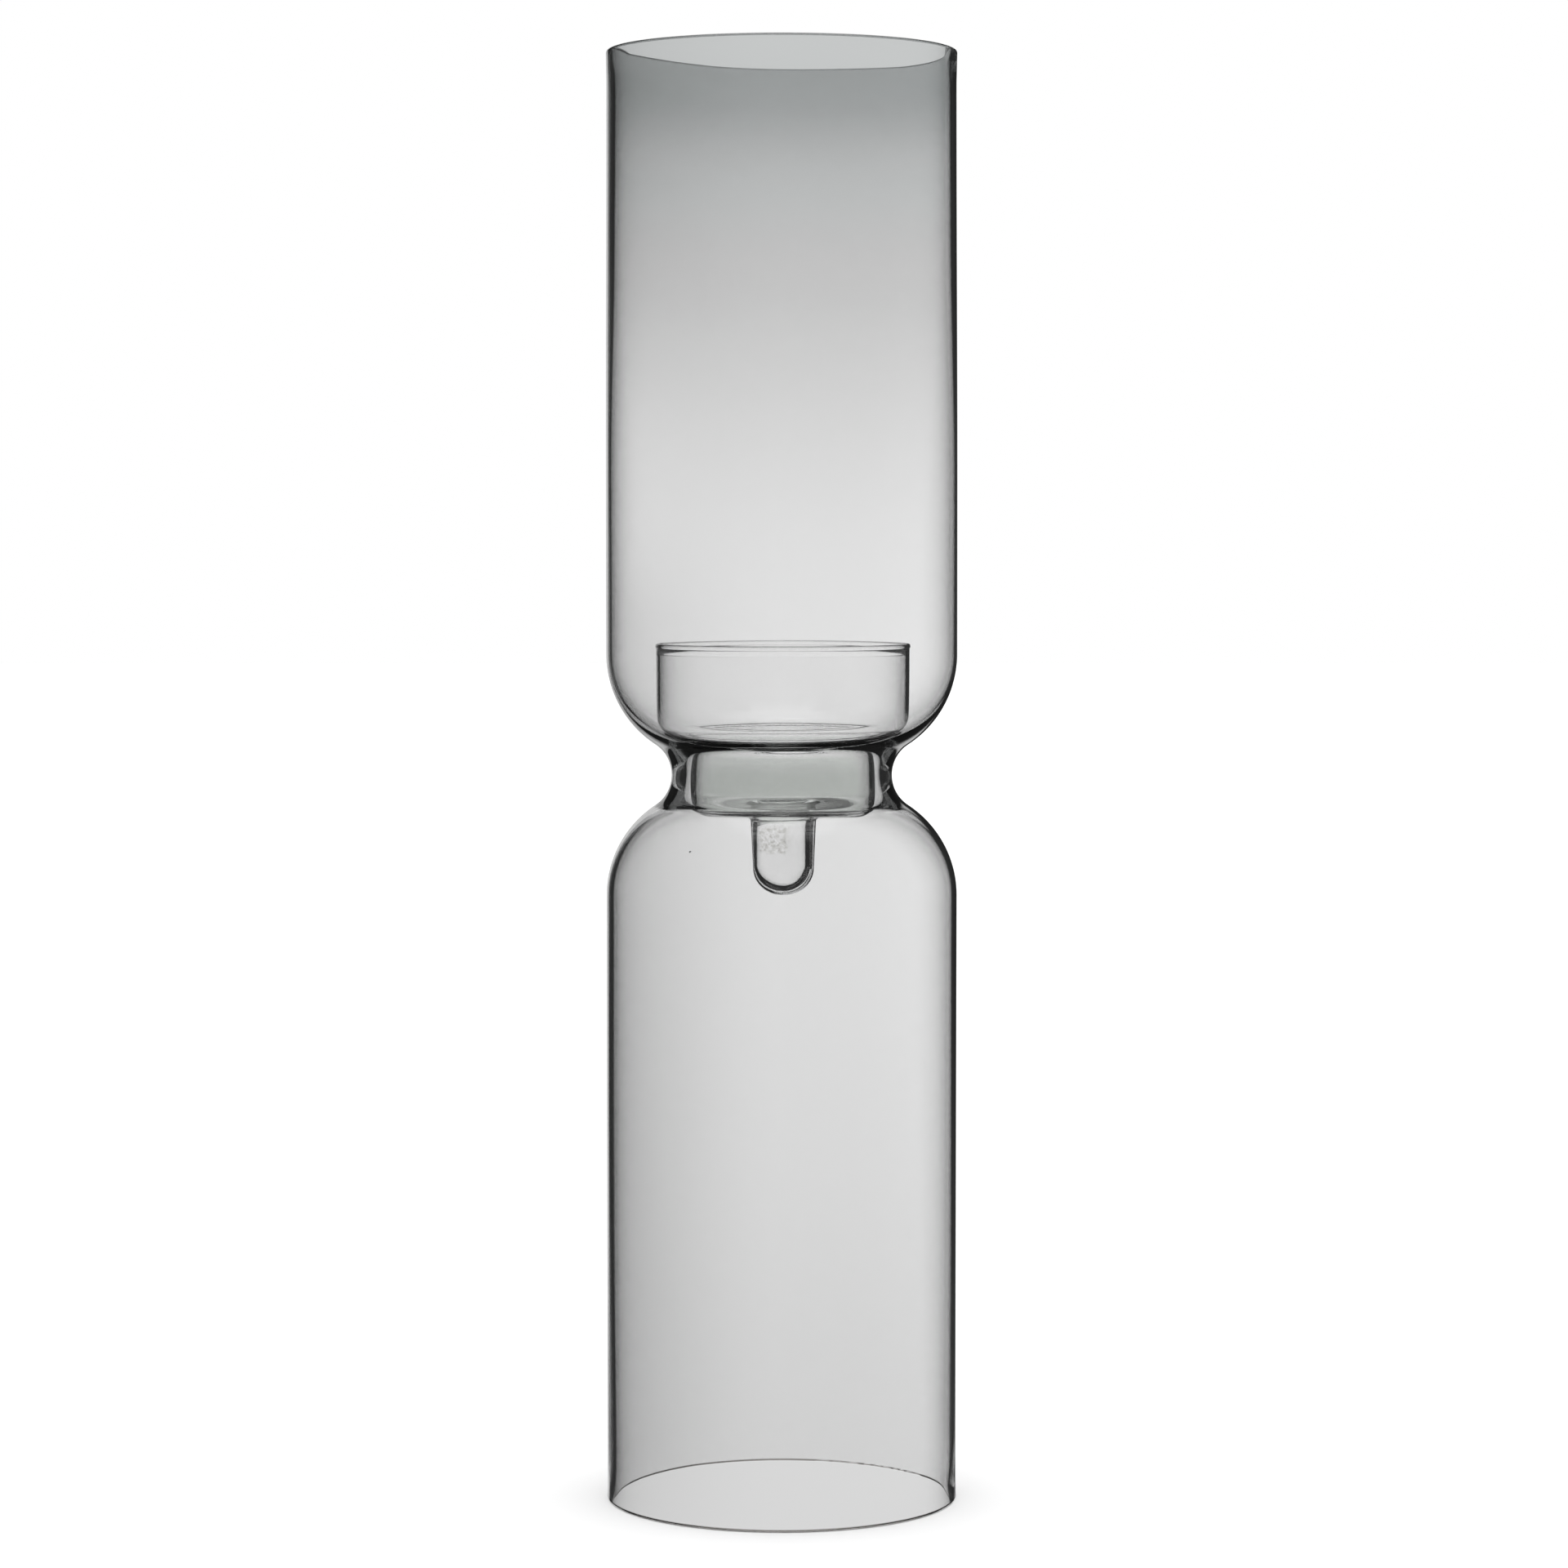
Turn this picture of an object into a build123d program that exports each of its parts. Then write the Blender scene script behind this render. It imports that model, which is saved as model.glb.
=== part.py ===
from build123d import *
import os

# Waisted glass candle lantern: a tall tube of smoke-grey glass, open at both ends and drawn in to a
# throat near half height, and a stepped glass candle insert that drops in from the top and rests there.
#
# Frame: millimetres, +Z up, origin at the centre of the foot, on the surface that the lantern stands
# on. Both pieces are bodies of revolution about Z. An outline lies in the XZ plane, X as the radius.

# ---- driving dimensions of the outer glass -----------------------------------------------------
HEIGHT = 600.0  # foot to rim
WAIST_Z = 301.9  # plane of the throat; both shoulders mirror each other about it
SHOULDER_RISE = 50.0  # from the waist plane to the centres of both shoulder arcs
BARREL_R = 72.8  # outside of both barrels
SHOULDER_ARC = 44.6  # outside arc from barrel to throat
THROAT_R = 45.8  # outside of the throat
THROAT_BORE_R = 40.4  # inside of the throat, where the blown wall is thickest
WALL_FOOT = 3.1  # wall at the foot
WALL_LOWER = 2.6  # wall under the lower shoulder
WALL_UPPER = 1.9  # wall above the upper shoulder
WALL_RIM = 2.8  # wall at the rim
LOWER_SHOULDER_BORE_ARC = 41.1  # inside arc from the lower barrel to the throat
UPPER_SHOULDER_BORE_ARC = 40.3  # inside arc from the upper barrel to the throat
RIM_ROUNDING = 1.1  # fire-polished edges of the rim
FOOT_BEVEL = 0.4  # bevels of the ground foot

# ---- driving dimensions of the candle insert ---------------------------------------------------
CUP_R = 52.5  # outside of the wide cup
CUP_WALL = 1.5
CUP_RIM_Z = 356.4  # top of the cup's bead
BEAD_R = 1.0  # section radius of the bead round the cup's rim, flush with its bore
CUP_CORNER = 9.0  # outside corner of the cup, which rests in the throat
SHELF_THICKNESS = 2.4  # floor of the cup round the neck's mouth
NECK_R = 38.3  # outside of the neck that hangs in the throat
NECK_WALL = 2.2
NECK_FOOT_Z = 286.4  # underside of the neck
NECK_FLOOR = 3.2
TUBE_TOP_R = 13.5  # outside of the candle tube where it leaves the neck
TUBE_TIP_R = 12.0  # outside of its round end
TUBE_BORE_R = 10.2  # for a taper candle
TUBE_LIP = 3.6  # flare of the bore into the neck's floor
TUBE_TIP_Z = 252.0
TUBE_END_WALL = 3.4  # glass under the bore
SEAT_GAP = 0.3  # between the cup's corner and the throat


def waist_arc_centre(barrel_r, shoulder_arc, throat_r):
    """Radius of the circle, in the waist plane, that the waist arc is struck from.

    The waist arc passes through the throat and touches the shoulder arc, which is struck from
    (barrel_r - shoulder_arc, SHOULDER_RISE above or below the waist plane).
    """
    centre_r = barrel_r - shoulder_arc
    difference = shoulder_arc - throat_r
    return (centre_r**2 + SHOULDER_RISE**2 - difference**2) / (2 * (barrel_r - throat_r))


def wall_half(barrel_r, shoulder_arc, throat_r, end_r, end_z, up):
    """One face of the glass from the throat to an open end; up is 1 above the waist, -1 below."""
    centre_r = barrel_r - shoulder_arc
    waist_r = waist_arc_centre(barrel_r, shoulder_arc, throat_r)
    share = shoulder_arc / (shoulder_arc + waist_r - throat_r)
    touch_r = centre_r + share * (waist_r - centre_r)
    touch_z = WAIST_Z + up * (1 - share) * SHOULDER_RISE
    shoulder_z = WAIST_Z + up * SHOULDER_RISE
    waist = TangentArc((throat_r, 0, WAIST_Z), (touch_r, 0, touch_z), tangent=(0, 0, up))
    shoulder = TangentArc(
        (barrel_r, 0, shoulder_z), (touch_r, 0, touch_z), tangent=(0, 0, -up)
    )
    barrel = Line((barrel_r, 0, shoulder_z), (end_r, 0, end_z))
    return [waist, shoulder, barrel]


def glass_body():
    """The outer glass: two barrels, two shoulders and the throat between them, in one wall."""
    rim_bore_r = BARREL_R - WALL_RIM
    foot_bore_r = BARREL_R - WALL_FOOT
    upper_bore_r = BARREL_R - WALL_UPPER
    lower_bore_r = BARREL_R - WALL_LOWER
    outline = [
        *wall_half(BARREL_R, SHOULDER_ARC, THROAT_R, BARREL_R, HEIGHT, 1),
        *wall_half(BARREL_R, SHOULDER_ARC, THROAT_R, BARREL_R, 0, -1),
        *wall_half(upper_bore_r, UPPER_SHOULDER_BORE_ARC, THROAT_BORE_R, rim_bore_r, HEIGHT, 1),
        *wall_half(lower_bore_r, LOWER_SHOULDER_BORE_ARC, THROAT_BORE_R, foot_bore_r, 0, -1),
        Line((rim_bore_r, 0, HEIGHT), (BARREL_R, 0, HEIGHT)),
        Line((foot_bore_r, 0, 0), (BARREL_R, 0, 0)),
    ]
    section = make_face(outline)
    section = fillet(section.vertices().group_by(Axis.Z)[-1], RIM_ROUNDING)
    section = chamfer(section.vertices().group_by(Axis.Z)[0], FOOT_BEVEL)
    return revolve(section, Axis.Z)


def cup_foot_z():
    """Height of the cup's underside, with its corner SEAT_GAP clear of the throat's bore."""
    seat_r = waist_arc_centre(BARREL_R - WALL_UPPER, UPPER_SHOULDER_BORE_ARC, THROAT_BORE_R)
    seat_arc = seat_r - THROAT_BORE_R
    reach = seat_arc + CUP_CORNER + SEAT_GAP
    across = seat_r - (CUP_R - CUP_CORNER)
    return WAIST_Z + (reach**2 - across**2) ** 0.5 - CUP_CORNER


def candle_insert():
    """The insert: a wide cup, a neck that hangs in the throat, and a blind tube under the neck."""
    cup_foot = cup_foot_z()
    cup_bore_r = CUP_R - CUP_WALL
    neck_bore_r = NECK_R - NECK_WALL
    neck_floor_z = NECK_FOOT_Z + NECK_FLOOR
    wall_top = CUP_RIM_Z - BEAD_R
    # Each corner of the outline and the radius that rounds it, from the tip up the outside and
    # back down the inside.
    corners = [
        ((0, TUBE_TIP_Z), 0),
        ((TUBE_TIP_R, TUBE_TIP_Z), TUBE_TIP_R * 0.95),
        ((TUBE_TOP_R, NECK_FOOT_Z), 1.5),
        ((NECK_R, NECK_FOOT_Z), 5.0),
        ((NECK_R, cup_foot), 2.4),
        ((CUP_R, cup_foot), CUP_CORNER),
        ((CUP_R, wall_top), 0),
        ((cup_bore_r, wall_top), 0),
        ((cup_bore_r, cup_foot + SHELF_THICKNESS), CUP_CORNER - CUP_WALL),
        ((neck_bore_r, cup_foot + SHELF_THICKNESS), 2.4),
        ((neck_bore_r, neck_floor_z), 4.0),
        ((TUBE_BORE_R, neck_floor_z), TUBE_LIP),
        ((TUBE_BORE_R, TUBE_TIP_Z + TUBE_END_WALL), TUBE_BORE_R * 0.95),
        ((0, TUBE_TIP_Z + TUBE_END_WALL), 0),
    ]
    points = [(r, 0, z) for (r, z), _ in corners]
    radii = [rounding for _, rounding in corners]
    outline = FilletPolyline(*points, radius=radii, close=True)
    walls = revolve(make_face(outline), Axis.Z)
    bead = Pos(0, 0, wall_top) * Torus(cup_bore_r + BEAD_R, BEAD_R)
    return walls + bead


os.makedirs("parts", exist_ok=True)
for node, piece in (("glass_body", glass_body()), ("candle_insert", candle_insert())):
    export_step(piece, f"parts/{node}.step")
    print(f"{node}: volume {piece.volume / 1000:.1f} cm3")
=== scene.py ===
# %% [markdown]
# # A waisted lantern of smoke-grey glass
#
# The object is two pieces of glass. The outer glass is a tall tube, open at the top and at the foot,
# that is drawn in to a narrow throat near its middle. The second piece is a stepped candle insert: a
# wide cup, a neck under it and a closed tube under that. The cup's rounded corner rests in the throat.
#
# Clear glass in front of a bright background is seen by the dark lines where its walls bend the light
# away. So the wall's thickness at each height matters more than any colour, and both pieces are modelled
# as true shells with an outside and a bore.

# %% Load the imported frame
import math

import bmesh
import bpy
from mathutils import Matrix, Vector, noise


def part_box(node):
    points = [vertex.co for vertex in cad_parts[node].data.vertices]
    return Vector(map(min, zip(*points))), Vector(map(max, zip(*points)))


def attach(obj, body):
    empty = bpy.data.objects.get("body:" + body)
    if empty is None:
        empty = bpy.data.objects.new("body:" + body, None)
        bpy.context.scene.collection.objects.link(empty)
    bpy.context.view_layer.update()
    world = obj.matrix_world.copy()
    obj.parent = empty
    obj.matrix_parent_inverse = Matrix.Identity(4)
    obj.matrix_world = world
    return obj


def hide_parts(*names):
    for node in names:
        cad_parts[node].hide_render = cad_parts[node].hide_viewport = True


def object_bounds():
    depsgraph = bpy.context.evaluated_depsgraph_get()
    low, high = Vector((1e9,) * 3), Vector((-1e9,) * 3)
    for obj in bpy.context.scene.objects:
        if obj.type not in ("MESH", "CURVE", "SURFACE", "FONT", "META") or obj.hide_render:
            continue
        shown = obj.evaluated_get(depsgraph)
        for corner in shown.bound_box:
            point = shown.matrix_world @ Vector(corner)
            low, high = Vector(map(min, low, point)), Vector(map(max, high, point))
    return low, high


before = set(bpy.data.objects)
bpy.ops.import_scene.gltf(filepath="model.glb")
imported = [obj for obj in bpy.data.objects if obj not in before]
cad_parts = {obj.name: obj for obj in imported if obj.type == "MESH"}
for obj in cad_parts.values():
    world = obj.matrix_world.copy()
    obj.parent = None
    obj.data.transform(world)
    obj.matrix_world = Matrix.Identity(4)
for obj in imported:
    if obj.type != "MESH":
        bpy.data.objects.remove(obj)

cad_lo, cad_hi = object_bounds()
body_lo, body_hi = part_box("glass_body")
insert_lo, insert_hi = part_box("candle_insert")
MM = 0.001
print("outer glass is", round(body_hi.z - body_lo.z, 4), "m tall")

# %% [markdown]
# ## Camera
#
# The lantern is seen from a little above its middle with a long lens, about two metres away. From that
# height the rim is seen from just underneath and the foot from just above, so both show as thin
# ellipses. The camera looks down by three degrees, and no lens shift is needed.

# %% Place the camera
CAMERA_AWAY = 1.897
CAMERA_ASIDE = 0.001
CAMERA_HEIGHT = 0.4027
CAMERA_DOWN = math.radians(3.16)
LENS_MM = 105.06
SENSOR_MM = 36.0
CLIP_START = 0.01

camera_data = bpy.data.cameras.new("studio_camera")
camera_data.lens = LENS_MM
camera_data.sensor_width = SENSOR_MM
camera_data.clip_start = CLIP_START
camera = bpy.data.objects.new("studio_camera", camera_data)
camera.location = (CAMERA_ASIDE, -CAMERA_AWAY, CAMERA_HEIGHT)
camera.rotation_euler = (math.pi / 2 - CAMERA_DOWN, 0, 0)
bpy.context.scene.collection.objects.link(camera)
bpy.context.scene.camera = camera
print("camera", CAMERA_AWAY, "m away and", CAMERA_HEIGHT, "m up")

# %% [markdown]
# ## Outlines
#
# A glassblower's piece is a body of revolution, so its shape is one outline in the plane of radius and
# height, spun about the axis. The Screw modifier can do that, but then the bore can't be thicker on one
# side, as hand-blown glass always is. So the outline is a plain list of points, and a short function
# spins it and moves each point a little on the way. Straight runs and arcs are two small functions.

# %% Straight runs, arcs and rounded corners
def run(start, end, steps):
    """Points from start to end, both included, as (radius, height) in millimetres."""
    return [
        (
            start[0] + (end[0] - start[0]) * i / steps,
            start[1] + (end[1] - start[1]) * i / steps,
        )
        for i in range(steps + 1)
    ]


def arc(centre, radius, first, last, steps):
    """Points on an arc about centre, from angle first to angle last, in degrees."""
    angles = [math.radians(first + (last - first) * i / steps) for i in range(steps + 1)]
    return [(centre[0] + radius * math.cos(a), centre[1] + radius * math.sin(a)) for a in angles]


def rounded(corners, degrees_a_step=6.0):
    """An open outline through corners given as (radius, height, rounding), in millimetres."""
    points = [corners[0][:2]]
    for before, corner, after in zip(corners, corners[1:], corners[2:]):
        here = Vector(corner[:2])
        back = (Vector(before[:2]) - here).normalized()
        ahead = (Vector(after[:2]) - here).normalized()
        turn = math.pi - back.angle(ahead)
        if corner[2] == 0 or turn < 1e-4:
            points.append(tuple(here))
            continue
        middle = (back + ahead).normalized()
        centre = here + middle * (corner[2] / math.cos(turn / 2))
        start = here + back * (corner[2] * math.tan(turn / 2)) - centre
        side = 1 if back.x * ahead.y - back.y * ahead.x < 0 else -1
        steps = max(3, math.ceil(math.degrees(turn) / degrees_a_step))
        first = math.degrees(math.atan2(start.y, start.x))
        points += arc(centre, corner[2], first, first + side * math.degrees(turn), steps)
    return points + [corners[-1][:2]]


# %% [markdown]
# ## The outer glass
#
# Each face of the wall is a straight barrel, an arc for the shoulder and a small arc for the waist. The
# waist arc is the one circle that passes through the throat and touches the shoulder arc, so the glass
# flows from one to the other with no kink. Blowing thins the wall over the upper shoulder and gathers
# glass in the throat and at both ends.

# %% Driving sizes of the outer glass, in millimetres
HEIGHT = round((body_hi.z - body_lo.z) / MM, 1)
BARREL_R = round(max(body_hi.x, body_hi.y) / MM, 1)
WAIST_Z = 301.9
SHOULDER_RISE = 50.0
SHOULDER_ARC = 44.6
THROAT_R = 45.8
THROAT_BORE_R = 40.4
WALL_RIM = 2.8
WALL_UPPER = 1.6
WALL_LOWER = 2.3
WALL_FOOT = 3.1
UPPER_BORE_ARC = 40.12
LOWER_BORE_ARC = 41.1
RIM_ROUNDING = 1.1
FOOT_BEVEL = 0.4
SEAM_IN = 1.0  # the outline starts on the flat of the foot, this far out from the bore
THINNING = (425.0, 525.0)  # heights between which the upper wall thins
BEVEL_ROUNDING = 0.15  # where a bevel meets its neighbours
RIM_BAND = 5.0  # how far under the rim its rounded edge is drawn
OUTER_BAND = 9.0  # height over the foot of the first ring outside
BORE_BAND = 6.0  # and of the last ring of the bore
BEVEL_TURN = 15.0  # degrees to a step round a bevel
RIM_TURN = 11.0
WAIST_STEPS = 24
SHOULDER_STEPS = 34
LOWER_STEPS = 26
UPPER_STEPS = 30
THINNING_STEPS = 36
print("outer glass", HEIGHT, "mm tall and", 2 * BARREL_R, "mm across")


# %% One face of the wall, in one half
def half_face(barrel_r, shoulder_arc, throat_r, up):
    """One face of the wall from the throat to the start of a barrel; up is 1 above the waist."""
    centre_r = barrel_r - shoulder_arc
    difference = shoulder_arc - throat_r
    waist_r = (centre_r**2 + SHOULDER_RISE**2 - difference**2) / (2 * (barrel_r - throat_r))
    lean = math.degrees(math.atan2(SHOULDER_RISE, waist_r - centre_r))
    waist = arc((waist_r, WAIST_Z), waist_r - throat_r, 180, 180 - up * lean, WAIST_STEPS)
    shoulder_centre = (centre_r, WAIST_Z + up * SHOULDER_RISE)
    shoulder = arc(shoulder_centre, shoulder_arc, -up * lean, 0, SHOULDER_STEPS)
    return waist + shoulder[1:]


def smooth(value, low, high):
    """0 under low, 1 over high, with an even S between them."""
    t = min(max((value - low) / (high - low), 0), 1)
    return t * t * (3 - 2 * t)


# %% The whole outline
def body_outline():
    """The closed outline of the wall, with a 1 beside each point of the bore and a 0 elsewhere."""
    upper_z = WAIST_Z + SHOULDER_RISE
    lower_z = WAIST_Z - SHOULDER_RISE
    upper_bore = BARREL_R - WALL_UPPER
    lower_bore = BARREL_R - WALL_LOWER
    rim_bore = BARREL_R - WALL_RIM
    foot_bore = BARREL_R - WALL_FOOT
    outside = rounded(
        [
            (foot_bore + SEAM_IN, 0, 0),
            (BARREL_R - FOOT_BEVEL, 0, BEVEL_ROUNDING),
            (BARREL_R, FOOT_BEVEL, BEVEL_ROUNDING),
            (BARREL_R, OUTER_BAND, 0),
        ],
        BEVEL_TURN,
    )
    outside += run((BARREL_R, OUTER_BAND), (BARREL_R, lower_z), LOWER_STEPS)[1:]
    outside += half_face(BARREL_R, SHOULDER_ARC, THROAT_R, -1)[::-1][1:]
    outside += half_face(BARREL_R, SHOULDER_ARC, THROAT_R, 1)[1:]
    outside += run((BARREL_R, upper_z), (BARREL_R, HEIGHT - RIM_BAND), UPPER_STEPS)[1:]
    rim = rounded(
        [
            (BARREL_R, HEIGHT - RIM_BAND, 0),
            (BARREL_R, HEIGHT, RIM_ROUNDING),
            (rim_bore, HEIGHT, RIM_ROUNDING),
            (rim_bore, HEIGHT - RIM_BAND, 0),
        ],
        RIM_TURN,
    )
    bore = []
    for _, z in run((0, HEIGHT - RIM_BAND), (0, upper_z), THINNING_STEPS)[1:]:
        thin = 1 - smooth(z, *THINNING)
        bore.append((rim_bore + (upper_bore - rim_bore) * thin, z))
    bore += half_face(upper_bore, UPPER_BORE_ARC, THROAT_BORE_R, 1)[::-1][1:]
    bore += half_face(lower_bore, LOWER_BORE_ARC, THROAT_BORE_R, -1)[1:]
    bore += run((lower_bore, lower_z), (foot_bore, BORE_BAND), LOWER_STEPS)[1:]
    bore += rounded(
        [
            (foot_bore, BORE_BAND, 0),
            (foot_bore, FOOT_BEVEL, BEVEL_ROUNDING),
            (foot_bore + FOOT_BEVEL, 0, BEVEL_ROUNDING),
            (foot_bore + SEAM_IN, 0, 0),
        ],
        BEVEL_TURN,
    )[1:-1]
    return [(r, z, 0) for r, z in outside + rim[1:]] + [(r, z, 1) for r, z in bore]


outline = body_outline()
print("outline of the outer glass:", len(outline), "points")

# %% [markdown]
# ## Spinning an outline
#
# `spin` puts the outline at each of a ring of angles and joins neighbours with quads. A point on the
# axis becomes one vertex with a fan of triangles. `hand` is the maker's hand: it says how far each point
# leaves the true form. The slow waves of blown glass are a sum of a few sines round and up the piece.

# %% Spin an outline into a closed shell
def spin(name, points, turns, hand, closed):
    """A mesh object of an outline of (radius, height, bore) spun about Z, in metres."""
    verts = []
    rings = []
    for r, z, bore in points:
        if r < 1e-6:
            rings.append([len(verts)] * turns)
            x, y, dz = hand(0, z, 0, bore)
            verts.append((x * MM, y * MM, (z + dz) * MM))
            continue
        rings.append(list(range(len(verts), len(verts) + turns)))
        for i in range(turns):
            a = 2 * math.pi * i / turns
            dx, dy, dz = hand(r, z, a, bore)
            verts.append(
                ((r * math.cos(a) + dx) * MM, (r * math.sin(a) + dy) * MM, (z + dz) * MM)
            )
    faces = []
    pairs = list(zip(rings, rings[1:])) + ([(rings[-1], rings[0])] if closed else [])
    for low, high in pairs:
        for i in range(turns):
            j = (i + 1) % turns
            corners = [low[i], low[j], high[j], high[i]]
            faces.append(list(dict.fromkeys(corners)))
    mesh = bpy.data.meshes.new(name)
    mesh.from_pydata(verts, [], faces)
    mesh.polygons.foreach_set("use_smooth", [True] * len(mesh.polygons))
    mesh.validate()
    piece = bpy.data.objects.new(name, mesh)
    bpy.context.scene.collection.objects.link(piece)
    print(name, "has", len(verts), "vertices and", len(faces), "faces")
    return piece


# %% Slow waves
def waves(kinds, a, z):
    """The sum of waves of (height, waves in a turn, start, millimetres climbed in a radian)."""
    return sum(high * math.sin(count * a + start + z / climb) for high, count, start, climb in kinds)


# %% [markdown]
# ## The outer glass, blown
#
# Flowing glass only ever errs in long soft waves, a tenth or two of a millimetre high here. The bore is a
# little off centre, so the wall is thicker on the left. The foot was cut and ground, and its inner edge
# has small chips along part of it. They are drawn from noise, which gives the same chips each time.

# %% The maker's hand in the outer glass, in millimetres
WAVE = 0.15  # the most that the outside strays
OUTSIDE_WAVES = ((0.65, 2, 0, 130), (0.35, 3, 0, -75))  # their heights are shares of WAVE
BORE_WAVES = ((0.10, 2, 1.1, 160), (0.05, 4, 0, 60))
TRUE_ENDS = 12.0  # the waves die out over this much of each end
BORE_ASIDE = 0.45
UPPER_TAPER = 0.5  # how much the radius falls between TAPER_FROM and the rim
TAPER_FROM = 420.0
CHIPS_FROM, CHIPS_TO = 28, 78  # degrees round the foot
CHIPS_A_RADIAN = 34  # about 2 mm of the foot to a chip
CHIP_DEEP = 1.8
CHIP_BIAS = 0.1
CHIP_ASIDE = 0.5  # how far a chip goes into the wall, as a share of its depth
CHIPPED = 1.0  # only points of the bore under this height are chipped
BODY_TURNS = 224


def body_hand(r, z, a, bore):
    """How far the blown wall strays from a true form, in millimetres."""
    out = WAVE * waves(OUTSIDE_WAVES, a, z)
    if bore:
        out += waves(BORE_WAVES, a, z)
    ends = smooth(z, 0, TRUE_ENDS) * smooth(HEIGHT - z, 0, TRUE_ENDS)
    chip = 0
    if bore and z < CHIPPED and CHIPS_FROM < math.degrees(a) < CHIPS_TO:
        rough = noise.noise(Vector((a * CHIPS_A_RADIAN, 0, 0)))
        chip = CHIP_DEEP * max(0, rough + CHIP_BIAS)
    aside = bore * BORE_ASIDE * ends
    out = (out - WAVE) * ends - UPPER_TAPER * smooth(z, TAPER_FROM, HEIGHT) + CHIP_ASIDE * chip
    return out * math.cos(a) + aside, out * math.sin(a), chip


outer_glass = spin("outer_glass", outline, BODY_TURNS, body_hand, True)

# %% [markdown]
# A seed is a gas bubble that was never worked out of the melt. It is a tiny closed shell inside the wall,
# turned inside out so that its faces look into the gas. A painted dot would be simpler, but it wouldn't
# bend the light.

# %% A seed in the front wall under the throat
SEED_X = -36.7
SEED_Z = 273.4
SEED_R = 0.45
SEED_LEVEL = 1.5  # points of the outline this near its height give the wall there
outside_near = [r for r, z, bore in outline if not bore and abs(z - SEED_Z) < SEED_LEVEL]
bore_near = [r for r, z, bore in outline if bore and abs(z - SEED_Z) < SEED_LEVEL]
seed_outer = sum(outside_near) / len(outside_near)
seed_inner = sum(bore_near) / len(bore_near)
seed_from_axis = (seed_outer + seed_inner) / 2
seed_y = -math.sqrt(seed_from_axis**2 - SEED_X**2)
shell = bmesh.new()
shell.from_mesh(outer_glass.data)
seed = bmesh.ops.create_icosphere(
    shell,
    subdivisions=2,
    radius=SEED_R * MM,
    matrix=Matrix.Translation(Vector((SEED_X, seed_y, SEED_Z)) * MM),
)
seed_faces = {face for vert in seed["verts"] for face in vert.link_faces}
bmesh.ops.reverse_faces(shell, faces=list(seed_faces))
for face in seed_faces:
    face.smooth = True
shell.to_mesh(outer_glass.data)
shell.free()
wall_there = round(seed_outer - seed_inner, 1)
print("seed", round(seed_from_axis, 1), "mm from the axis, in a wall of", wall_there, "mm")

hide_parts("glass_body")
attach(outer_glass, "lantern")

# %% [markdown]
# ## The candle insert
#
# The insert is thinner and more worked than the outer glass: the cup is 1.5 mm thick with a fire-
# polished bead for a rim, the neck is straight and hangs in the throat, and the tube is fused to its
# floor. The outline starts at the tip of the tube, goes up the outside, over the bead and down the
# inside. Its corners are the same list of radius, height and rounding that a maker's drawing would give.

# %% Driving sizes of the insert, in millimetres
CUP_R = 52.5
CUP_WALL = 1.5
CUP_FOOT_Z = 314.6
CUP_CORNER = 9.0
CUP_FLOOR_CORNER = 5.0  # tighter than outside, so the glass is thickest in the corner
CUP_RIM_Z = round(insert_hi.z / MM, 1)
BEAD_R = 1.15
SHELF = 2.4
NECK_R = 38.3
NECK_WALL = 2.2
NECK_FLARE = 3.6  # where the cup's floor turns down into the neck
NECK_FOOT_Z = 286.4
NECK_CORNER = 8.0
NECK_FLOOR = 2.8
TUBE_TOP_R = 13.5
TUBE_TIP_R = 12.0
TUBE_BORE_R = 10.0
TUBE_TIP_Z = round(insert_lo.z / MM, 1)
TUBE_END = 3.4
TUBE_LIP = 3.6
ROUND_END = 0.97  # rounding of the tube's end, as a share of its radius
TUBE_ROOT = 1.8  # rounding between tube and neck
BEAD_STEPS = 20
print("insert from", TUBE_TIP_Z, "mm to", CUP_RIM_Z, "mm over the foot")


# %% The insert's outline
def insert_outline():
    """The insert's outline from the tip of its tube, up the outside and down the inside."""
    cup_bore = CUP_R - CUP_WALL
    neck_bore = NECK_R - NECK_WALL
    floor_z = NECK_FOOT_Z + NECK_FLOOR
    shelf_z = CUP_FOOT_Z + SHELF
    bead_z = CUP_RIM_Z - BEAD_R
    bead_meets = math.degrees(math.acos(CUP_WALL / 2 / BEAD_R))
    bead_foot = bead_z - BEAD_R * math.sin(math.radians(bead_meets))
    outside = rounded(
        [
            (0, TUBE_TIP_Z, 0),
            (TUBE_TIP_R, TUBE_TIP_Z, TUBE_TIP_R * ROUND_END),
            (TUBE_TOP_R, NECK_FOOT_Z, TUBE_ROOT),
            (NECK_R, NECK_FOOT_Z, NECK_CORNER),
            (NECK_R, CUP_FOOT_Z, NECK_FLARE),
            (CUP_R, CUP_FOOT_Z, CUP_CORNER),
            (CUP_R, bead_foot, 0),
        ]
    )
    bead = arc((CUP_R - CUP_WALL / 2, bead_z), BEAD_R, -bead_meets, 180 + bead_meets, BEAD_STEPS)
    inside = rounded(
        [
            (cup_bore, bead_foot, 0),
            (cup_bore, shelf_z, CUP_FLOOR_CORNER),
            (neck_bore, shelf_z, NECK_FLARE + NECK_WALL),
            (neck_bore, floor_z, NECK_CORNER - NECK_WALL),
            (TUBE_BORE_R, floor_z, TUBE_LIP),
            (TUBE_BORE_R, TUBE_TIP_Z + TUBE_END, TUBE_BORE_R * ROUND_END),
            (0, TUBE_TIP_Z + TUBE_END, 0),
        ]
    )
    return [(r, z, 0) for r, z in outside[:-1] + bead] + [(r, z, 1) for r, z in inside[1:]]


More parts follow.
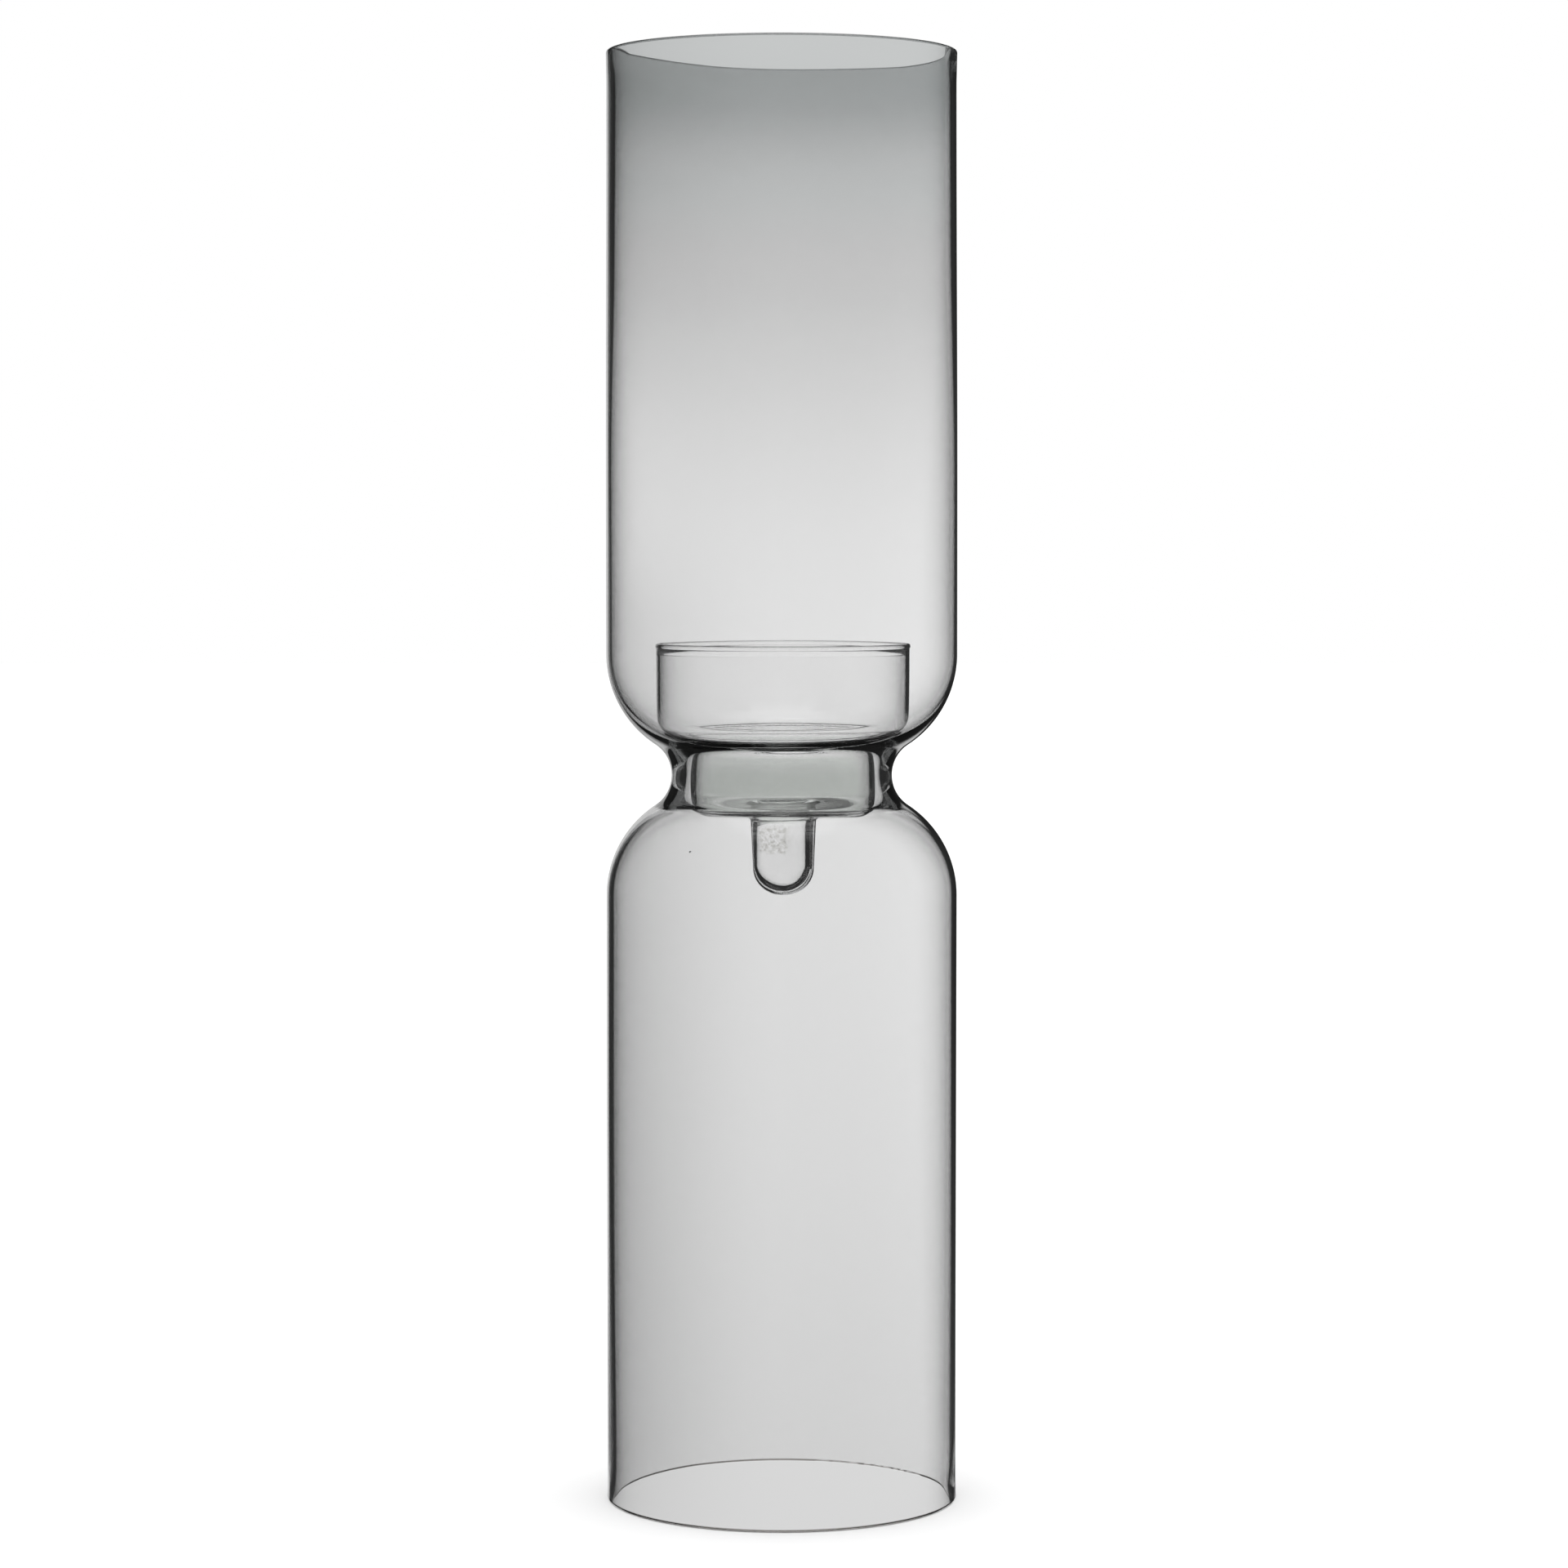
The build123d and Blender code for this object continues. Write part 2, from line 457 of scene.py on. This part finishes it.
def divided(points, longest):
    """The same outline with each run longer than longest cut into equal steps."""
    result = [points[0]]
    for before, after in zip(points, points[1:]):
        length = math.hypot(after[0] - before[0], after[1] - before[1])
        steps = max(1, math.ceil(length / longest))
        for i in range(1, steps + 1):
            t = i / steps
            r = before[0] + (after[0] - before[0]) * t
            z = before[1] + (after[1] - before[1]) * t
            result.append((r, z, after[2]))
    return result


# %% The maker's hand in the insert, in millimetres
INSERT_ASIDE = 0.45
TUBE_BORE_ASIDE = 0.7
INSERT_WAVES = ((0.08, 2, 0.6, math.inf), (0.05, 3, 0, 30))
TRUE_AXIS = 12.0  # the waves die out this near the axis
TUBE_STARTS = (250, 262)  # heights over which the tube's bore comes to lie aside
TUBE_STOPS = (280, 290)
LONGEST_STEP = 3.0
INSERT_TURNS = 192


def insert_hand(r, z, a, bore):
    """The insert sits a little to the right and its tube is thicker on that side."""
    out = waves(INSERT_WAVES, a, z) * smooth(r, 0, TRUE_AXIS)
    in_tube = 1 - smooth(z, *TUBE_STOPS)
    aside = INSERT_ASIDE - TUBE_BORE_ASIDE * bore * in_tube * smooth(z, *TUBE_STARTS)
    return out * math.cos(a) + aside, out * math.sin(a), 0


insert_points = divided(insert_outline(), LONGEST_STEP)
candle_insert = spin("stepped_insert", insert_points, INSERT_TURNS, insert_hand, False)
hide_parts("candle_insert")
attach(candle_insert, "insert")

# %% [markdown]
# ## Nodes
#
# Both glasses, the floor and the light are node trees. One small function adds any node with its
# settings and links, and colours are written as hex values and turned to linear here.

# %% One function that adds a node, and one that turns a hex colour to linear
def add(tree, kind, inputs=None, **properties):
    """A node of this kind. inputs holds, by name or number, a value, an output or a whole node."""
    made = tree.nodes.new(kind)
    for key, value in properties.items():
        setattr(made, key, value)
    for key, value in (inputs or {}).items():
        if isinstance(value, bpy.types.Node):
            value = value.outputs[0]
        if isinstance(value, bpy.types.NodeSocket):
            tree.links.new(value, made.inputs[key])
        else:
            made.inputs[key].default_value = value
    return made


def linear(hex_colour):
    """The linear RGBA of an sRGB hex colour such as 8A9A5B."""
    parts = [int(hex_colour[i : i + 2], 16) / 255 for i in (0, 2, 4)]
    return [p / 12.92 if p <= 0.04045 else ((p + 0.055) / 1.055) ** 2.4 for p in parts] + [1.0]


# %% [markdown]
# ## Smoke glass
#
# Smoke glass is soda-lime glass that is usually coloured grey with metal oxides in the melt. It takes
# light away for each millimetre it passes, which is Volume Absorption in the volume socket. The grey is
# also denser towards the rim and on the left of the lower barrel, and that is in the Base Color, as ramps
# over the height. A volume that changes over the height could do it all, but that is slow to render and
# noisy. Each Mix node here multiplies one colour by another, as far as its factor says.

# %% Steps and ramps over the height
TINTING = {"data_type": "RGBA", "blend_type": "MULTIPLY", "clamp_result": False}
SOFTLY = {"interpolation_type": "SMOOTHSTEP"}


def step(value, edge, soft):
    """Inputs for a step that is 0 under the edge and 1 over it, changing over the width soft."""
    return {"Value": value, "From Min": edge - soft / 2, "From Max": edge + soft / 2}


def by_height(tree, height, stops):
    """A colour that changes smoothly over the height; stops are (mm, hex colour)."""
    share = add(tree, "ShaderNodeMapRange", {"Value": height, "From Max": HEIGHT * MM})
    ramp = add(tree, "ShaderNodeValToRGB", {"Fac": share})
    ramp.color_ramp.interpolation = "CARDINAL"
    elements = ramp.color_ramp.elements
    while len(elements) < len(stops):
        elements.new(0.5)
    for element, (z, colour) in zip(elements, stops):
        element.position = z / HEIGHT
        element.color = linear(colour)
    return ramp


# %% [markdown]
# A lip shows as a thin dark line, because its round edge turns light away. That line is painted shade:
# the glass's colour is darkened where a lip is seen edge on. The foot is ground, and a narrow band of it
# is tinted grey as painted shade for the light that its rough face scatters away.

# %% Painted shade on the lips and on the ground foot
LIP_SHARPNESS = 0.5
# Painted shade: the colour that a lip seen edge on is darkened to.
LIP_SHADE_LEFT = (0.05, 0.05, 0.05, 1)  # share of the light left in a lip that is seen edge on
LIP_FADE = 0.3
GROUND_FOOT = 0.8
# Painted shade on the ground band of the foot, for the light its rough face scatters away.
GROUND_SHADE_TINT = "8C8884"


def lip_and_foot_shade(tree, colour, height, facing, lip_shade_z):
    """The colour with painted shade: darkened at lips over lip_shade_z seen edge on, and on the ground
    foot.
    """
    lip_shade_zone = add(
        tree,
        "ShaderNodeMapRange",
        {"Value": height, "From Min": lip_shade_z * MM, "From Max": (lip_shade_z + LIP_FADE) * MM},
    )
    edge_on = add(tree, "ShaderNodeMath", {0: facing, 1: LIP_SHARPNESS}, operation="POWER")
    darker = add(tree, "ShaderNodeMath", {0: lip_shade_zone, 1: edge_on}, operation="MULTIPLY")
    colour = add(tree, "ShaderNodeMix", {0: darker, 6: colour, 7: LIP_SHADE_LEFT}, **TINTING).outputs[2]
    foot = {"From Min": GROUND_FOOT * MM / 2, "From Max": GROUND_FOOT * MM, "To Min": 1.0, "To Max": 0.0}
    ground = add(tree, "ShaderNodeMapRange", {"Value": height, **foot})
    foot_shade = {0: ground, 6: colour, 7: linear(GROUND_SHADE_TINT)}
    return add(tree, "ShaderNodeMix", foot_shade, **TINTING).outputs[2]


# %% [markdown]
# The tube holds faint specks, perhaps of wax or soot. They are drawn about 1.5 mm across, coarse enough
# to show, between two heights and not on the tube's right side.

# %% Faint specks
SPECKS_A_MM = 0.65
SPECK_DETAIL = 3.0
SPECK_EDGE = 0.57
SPECK_SOFT = 0.10
TRACE_FADE = 2.0
TRACE_RIGHT = 3.0  # millimetres to the right of the axis
TRACE_RIGHT_FADE = 4.0
TRACE_TINT = "E4E3E0"


def with_traces(tree, colour, place, here, span):
    """The colour with specks between the two heights of span, in millimetres."""
    grain = {"Vector": place.outputs["Object"], "Scale": SPECKS_A_MM / MM, "Detail": SPECK_DETAIL}
    specks = add(tree, "ShaderNodeTexNoise", grain).outputs["Fac"]
    low, high = (height * MM for height in span)
    worn = add(tree, "ShaderNodeMapRange", step(specks, SPECK_EDGE, SPECK_SOFT), **SOFTLY)
    over = step(here.outputs["Z"], low, TRACE_FADE * MM)
    over = add(tree, "ShaderNodeMapRange", over, **SOFTLY)
    past = step(here.outputs["Z"], high, TRACE_FADE * MM)
    past = add(tree, "ShaderNodeMapRange", past, **SOFTLY)
    right = step(here.outputs["X"], TRACE_RIGHT * MM, TRACE_RIGHT_FADE * MM)
    right = add(tree, "ShaderNodeMapRange", right, **SOFTLY)
    worn = add(tree, "ShaderNodeMath", {0: worn, 1: over}, operation="MULTIPLY")
    for limit in (past, right):
        inside = add(tree, "ShaderNodeMath", {0: 1.0, 1: limit}, operation="SUBTRACT")
        worn = add(tree, "ShaderNodeMath", {0: worn, 1: inside}, operation="MULTIPLY")
    specked = {0: worn, 6: colour, 7: linear(TRACE_TINT)}
    return add(tree, "ShaderNodeMix", specked, **TINTING).outputs[2]


# %% [markdown]
# The whole glass puts these together. A face reflects more light away the more it is seen edge on, and
# in an all-white room the reflections of the room would make up for it. GRAZING_GAIN gives that back.

# %% The whole glass
SODA_LIME_IOR = 1.52
GRAZING_GAIN = 0.75
NOT_TAKEN = (0.0, 0.01, 0.01, 1)  # share of red, green and blue that the depth of glass leaves alone


def smoke_glass(name, stops, side_stops, taken_a_mm, lip_shade_z, traces=None):
    """Glass tinted by stops over its height, by side_stops on its left, and in its depth, with painted
    shade on its lips and ground foot.
    """
    material = bpy.data.materials.new(name)
    material.use_nodes = True
    tree = material.node_tree
    tree.nodes.clear()
    place = add(tree, "ShaderNodeTexCoord")
    here = add(tree, "ShaderNodeSeparateXYZ", {"Vector": place.outputs["Object"]})
    x, z = here.outputs["X"], here.outputs["Z"]
    left = add(tree, "ShaderNodeMath", {0: x, 1: -1 / (BARREL_R * MM)}, operation="MULTIPLY")
    left = add(tree, "ShaderNodeMath", {0: left, 1: 0.0}, operation="MAXIMUM")
    left = add(tree, "ShaderNodeMath", {0: left, 1: 2.0}, operation="POWER")
    sides = {0: left, 6: by_height(tree, z, stops), 7: by_height(tree, z, side_stops)}
    colour = add(tree, "ShaderNodeMix", sides, **TINTING).outputs[2]
    facing = add(tree, "ShaderNodeLayerWeight", {"Blend": 0.5}).outputs["Facing"]
    gain = add(tree, "ShaderNodeMath", {0: facing, 1: 2.0}, operation="POWER")
    gain = add(tree, "ShaderNodeMath", {0: gain, 1: GRAZING_GAIN, 2: 1.0}, operation="MULTIPLY_ADD")
    colour = add(tree, "ShaderNodeMix", {0: 1.0, 6: colour, 7: gain}, **TINTING).outputs[2]
    colour = lip_and_foot_shade(tree, colour, z, facing, lip_shade_z)
    if traces:
        colour = with_traces(tree, colour, place, here, traces)
    clear_glass = {"Base Color": colour, "Roughness": 0.0, "IOR": SODA_LIME_IOR, "Transmission Weight": 1.0}
    glass = add(tree, "ShaderNodeBsdfPrincipled", clear_glass)
    depth = {"Color": NOT_TAKEN, "Density": taken_a_mm / MM}
    takes = add(tree, "ShaderNodeVolumeAbsorption", depth)
    add(tree, "ShaderNodeOutputMaterial", {"Surface": glass, "Volume": takes})
    return material


# %% [markdown]
# ## Glass of the outer piece
#
# The stops say how grey one wall is at each height in millimetres, and the side stops say how much
# greyer it is at the far left.

# %% Smoke glass, blown and fire-polished
BODY_TAKES_A_MM = 0.030
# Painted shade on the rim's lip starts this many millimetres under the top.
RIM_SHADE_BAND = 0.9
body_stops = [
    (0, "EFEFEF"),
    (112, "F2F2F2"),
    (230, "F4F4F4"),
    (356, "F4F4F4"),
    (417, "F1F1F1"),
    (489, "E9E9E9"),
    (520, "E5E5E5"),
    (541, "E1E2E2"),
    (560, "DBDCDC"),
    (580, "CDCFCF"),
    (596, "CDCFCF"),
]
body_side_stops = [
    (0, "E6E6E6"),
    (290, "E6E6E6"),
    (370, "F0F0F0"),
    (410, "FBFBFB"),
    (470, "FBFBFB"),
    (595, "EBEBEB"),
]
blown_smoke = smoke_glass(
    "smoke_soda_lime_blown", body_stops, body_side_stops, BODY_TAKES_A_MM, HEIGHT - RIM_SHADE_BAND
)
outer_glass.data.materials.append(blown_smoke)
print("glass of the outer piece:", blown_smoke.name)

# %% [markdown]
# ## Glass of the insert
#
# The insert is paler glass. Its neck is the greyest part of it, about as grey as the outer glass, and
# its tube holds the faint specks.

# %% Smoke glass, worked and fire-polished
INSERT_TAKES_A_MM = 0.015
# Painted shade on the bead starts this many millimetres under the cup's rim.
BEAD_SHADE_BAND = 0.8
TRACES = (270, 282)  # heights in the tube, in millimetres
insert_stops = [
    (0, "FDFDFD"),
    (283, "FDFDFD"),
    (284, "FCFDFC"),
    (289, "EEF0EE"),
    (305, "EEF0EE"),
    (311, "FCFDFC"),
    (312, "FDFDFD"),
    (600, "FDFDFD"),
]
clear = [(0, "FFFFFF"), (600, "FFFFFF")]
worked_smoke = smoke_glass(
    "pale_smoke_soda_lime_worked", insert_stops, clear, INSERT_TAKES_A_MM, CUP_RIM_Z - BEAD_SHADE_BAND, TRACES
)
candle_insert.data.materials.append(worked_smoke)
print("glass of the insert:", worked_smoke.name)

# %% [markdown]
# ## Floor
#
# The lantern stands on white paper. Seen directly the paper is an ordinary diffuse surface, and a diffuse
# surface alone would look too grey through the glass. So there it glows a little, to make up for what
# each face reflects away, and it is darker inside the foot, where its light has come through the wall.
# Rays that a face has turned back don't meet it at all.

# %% A pale floor
MADE_UP_A_FACE = 1.043
FLOOR_HALF = 12.0
FLOOR_CELLS = 8
FLOOR_DROP = 0.0003
floor_mesh = bpy.data.meshes.new("studio_floor")
shape = bmesh.new()
bmesh.ops.create_grid(shape, x_segments=FLOOR_CELLS, y_segments=FLOOR_CELLS, size=FLOOR_HALF)
bmesh.ops.translate(shape, verts=shape.verts, vec=(0, 0, cad_lo.z - FLOOR_DROP))
shape.to_mesh(floor_mesh)
shape.free()
floor = bpy.data.objects.new("studio_floor", floor_mesh)
bpy.context.scene.collection.objects.link(floor)
print("floor", 2 * FLOOR_HALF, "m across")

# %% White paper
AT_LEAST_ONCE = 0.5  # a Light Path depth is a count, so over a half is once or more
UNDER_GLASS = 0.86  # light left on the floor inside the foot
PAPER = "F6F6F6"
paper = bpy.data.materials.new("white_background_paper")
paper.use_nodes = True
tree = paper.node_tree
tree.nodes.clear()
sheet = add(tree, "ShaderNodeBsdfDiffuse", {"Color": linear(PAPER)})
unseen = add(tree, "ShaderNodeBsdfTransparent")
path = add(tree, "ShaderNodeLightPath")
glossy, passed = path.outputs["Glossy Depth"], path.outputs["Transmission Depth"]
turned = add(tree, "ShaderNodeMath", {0: glossy, 1: AT_LEAST_ONCE}, operation="GREATER_THAN")
through = add(tree, "ShaderNodeMath", {0: passed, 1: AT_LEAST_ONCE}, operation="GREATER_THAN")
made_up = add(tree, "ShaderNodeMath", {0: MADE_UP_A_FACE, 1: passed}, operation="POWER")
spot = add(tree, "ShaderNodeTexCoord").outputs["Object"]
off_axis = add(tree, "ShaderNodeVectorMath", {0: spot}, operation="LENGTH").outputs["Value"]
wall = {"From Min": (BARREL_R - WALL_FOOT) * MM, "From Max": BARREL_R * MM, "To Min": UNDER_GLASS}
under = add(tree, "ShaderNodeMapRange", {"Value": off_axis, **wall})
strength = add(tree, "ShaderNodeMath", {0: made_up, 1: under}, operation="MULTIPLY")
glow = add(tree, "ShaderNodeEmission", {"Strength": strength})
behind_glass = add(tree, "ShaderNodeMixShader", {"Fac": through, 1: sheet, 2: glow})
either = add(tree, "ShaderNodeMixShader", {"Fac": turned, 1: behind_glass, 2: unseen})
add(tree, "ShaderNodeOutputMaterial", {"Surface": either})
floor.data.materials.append(paper)
print("floor material:", paper.name)

# %% [markdown]
# ## Light
#
# A glass studio is a white tent with dark cards just out of view, which give the glass its dark edges.
# The world does both, and it is a device, not a true light set-up: a ray that has only passed through
# glass sees the tent, and a ray that a face has turned back sees a dark surround. That surround is lit
# in a gap between the cards and, over and under the cards, in a narrow strip down to the table's edge.
# The Light Path depths tell the rays apart.

# %% The directions of the light tent, in degrees
TENT = 1.0
CARDS = 0.03
FLOOR_LIFT = 1.45  # light on the floor, enough to keep the paper white
GAP_GLOW = 0.65
CARD_LEFT = 18.0
CARD_RIGHT = 1.5
CARD_TOP = 12.0
CARD_FOOT = -13.0
CARD_SOFT = 2.0
OVER_SOFT = 4.0
TABLE_EDGE = -24.0
TABLE_SOFT = 10.0
REFRACTED_TOP = 45.0
REFRACTED_SOFT = 16.0
STRIP = 0.26  # half width of the strip, as a share of the ray's length
STRIP_SOFT = 0.08
FAR_SIDE = -0.2
FAR_SOFT = 0.2

world = bpy.data.worlds.new("light_tent")
world.use_nodes = True
tree = world.node_tree
tree.nodes.clear()
path = add(tree, "ShaderNodeLightPath")
toward = add(tree, "ShaderNodeTexCoord").outputs["Generated"]
toward = add(tree, "ShaderNodeSeparateXYZ", {"Vector": toward})
x, y, z = toward.outputs
turn = add(tree, "ShaderNodeMath", {0: x, 1: y}, operation="ARCTAN2")
turn = add(tree, "ShaderNodeMath", {0: turn}, operation="DEGREES")
climb = add(tree, "ShaderNodeMath", {0: z}, operation="ARCSINE")
climb = add(tree, "ShaderNodeMath", {0: climb}, operation="DEGREES")

# %% The gap between the cards, and the strip over and under them
past_left = add(tree, "ShaderNodeMapRange", step(turn, -CARD_LEFT, CARD_SOFT), **SOFTLY)
past_right = add(tree, "ShaderNodeMapRange", step(turn, CARD_RIGHT, CARD_SOFT), **SOFTLY)
past_right = add(tree, "ShaderNodeMath", {0: 1.0, 1: past_right}, operation="SUBTRACT")
gap = add(tree, "ShaderNodeMath", {0: past_left, 1: past_right}, operation="MULTIPLY")
gap = add(tree, "ShaderNodeMath", {0: gap, 1: GAP_GLOW}, operation="MULTIPLY")
middle = (CARD_TOP + CARD_FOOT) / 2
off_middle = add(tree, "ShaderNodeMath", {0: climb, 1: middle}, operation="SUBTRACT")
off_middle = add(tree, "ShaderNodeMath", {0: off_middle}, operation="ABSOLUTE")
over = add(tree, "ShaderNodeMapRange", step(off_middle, CARD_TOP - middle, OVER_SOFT), **SOFTLY)
off_strip = add(tree, "ShaderNodeMath", {0: x}, operation="ABSOLUTE")
off_strip = add(tree, "ShaderNodeMapRange", step(off_strip, STRIP, STRIP_SOFT), **SOFTLY)
strip = add(tree, "ShaderNodeMath", {0: 1.0, 1: off_strip}, operation="SUBTRACT")
far_side = add(tree, "ShaderNodeMapRange", step(y, FAR_SIDE, FAR_SOFT), **SOFTLY)
strip = add(tree, "ShaderNodeMath", {0: strip, 1: far_side}, operation="MULTIPLY")
strip = add(tree, "ShaderNodeMath", {0: over, 1: strip}, operation="MULTIPLY")
lit = add(tree, "ShaderNodeMath", {0: gap, 1: strip}, operation="MAXIMUM")
over_table = add(tree, "ShaderNodeMapRange", step(climb, TABLE_EDGE, TABLE_SOFT), **SOFTLY)
lit = add(tree, "ShaderNodeMath", {0: lit, 1: over_table}, operation="MULTIPLY")
studio = add(tree, "ShaderNodeMath", {0: lit, 1: TENT - CARDS, 2: CARDS}, operation="MULTIPLY_ADD")
print("gap from", -CARD_LEFT, "to", CARD_RIGHT, "degrees")

# %% What each kind of ray sees
glossy, diffuse = path.outputs["Glossy Depth"], path.outputs["Diffuse Depth"]
passed = path.outputs["Transmission Depth"]
turned = add(tree, "ShaderNodeMath", {0: glossy, 1: AT_LEAST_ONCE}, operation="GREATER_THAN")
from_floor = add(tree, "ShaderNodeMath", {0: diffuse, 1: AT_LEAST_ONCE}, operation="GREATER_THAN")
faces = add(tree, "ShaderNodeMath", {0: MADE_UP_A_FACE, 1: passed}, operation="POWER")
high = add(tree, "ShaderNodeMapRange", step(climb, REFRACTED_TOP, REFRACTED_SOFT), **SOFTLY)
seen = path.outputs["Is Camera Ray"]
bent = add(tree, "ShaderNodeMath", {0: 1.0, 1: seen}, operation="SUBTRACT")
dim = add(tree, "ShaderNodeMath", {0: high, 1: bent}, operation="MULTIPLY")
refracted = add(tree, "ShaderNodeMath", {0: dim, 1: CARDS - TENT, 2: TENT}, operation="MULTIPLY_ADD")
light = add(tree, "ShaderNodeMix", {"Factor": turned, "A": refracted, "B": studio})
light = add(tree, "ShaderNodeMath", {0: light, 1: faces}, operation="MULTIPLY")
light = add(tree, "ShaderNodeMix", {"Factor": from_floor, "A": light, "B": FLOOR_LIFT})
back = add(tree, "ShaderNodeBackground", {"Color": (1, 1, 1, 1), "Strength": light})
add(tree, "ShaderNodeOutputWorld", {"Surface": back})
bpy.context.scene.world = world
print("world nodes:", len(tree.nodes))

# %% [markdown]
# ## How the glass is rendered
#
# A ray through both walls and the insert crosses many faces, so it needs more bounces than an ordinary
# scene. The Standard view keeps the tent pure white.

# %% Bounces and view
GLASS_BOUNCES = 48
GLOSSY_BOUNCES = 16
DIFFUSE_BOUNCES = 3
scene = bpy.context.scene
scene.cycles.max_bounces = GLASS_BOUNCES
scene.cycles.transmission_bounces = GLASS_BOUNCES
scene.cycles.glossy_bounces = GLOSSY_BOUNCES
scene.cycles.diffuse_bounces = DIFFUSE_BOUNCES
scene.cycles.use_denoising = True
scene.view_settings.view_transform = "Standard"
scene.view_settings.look = "None"
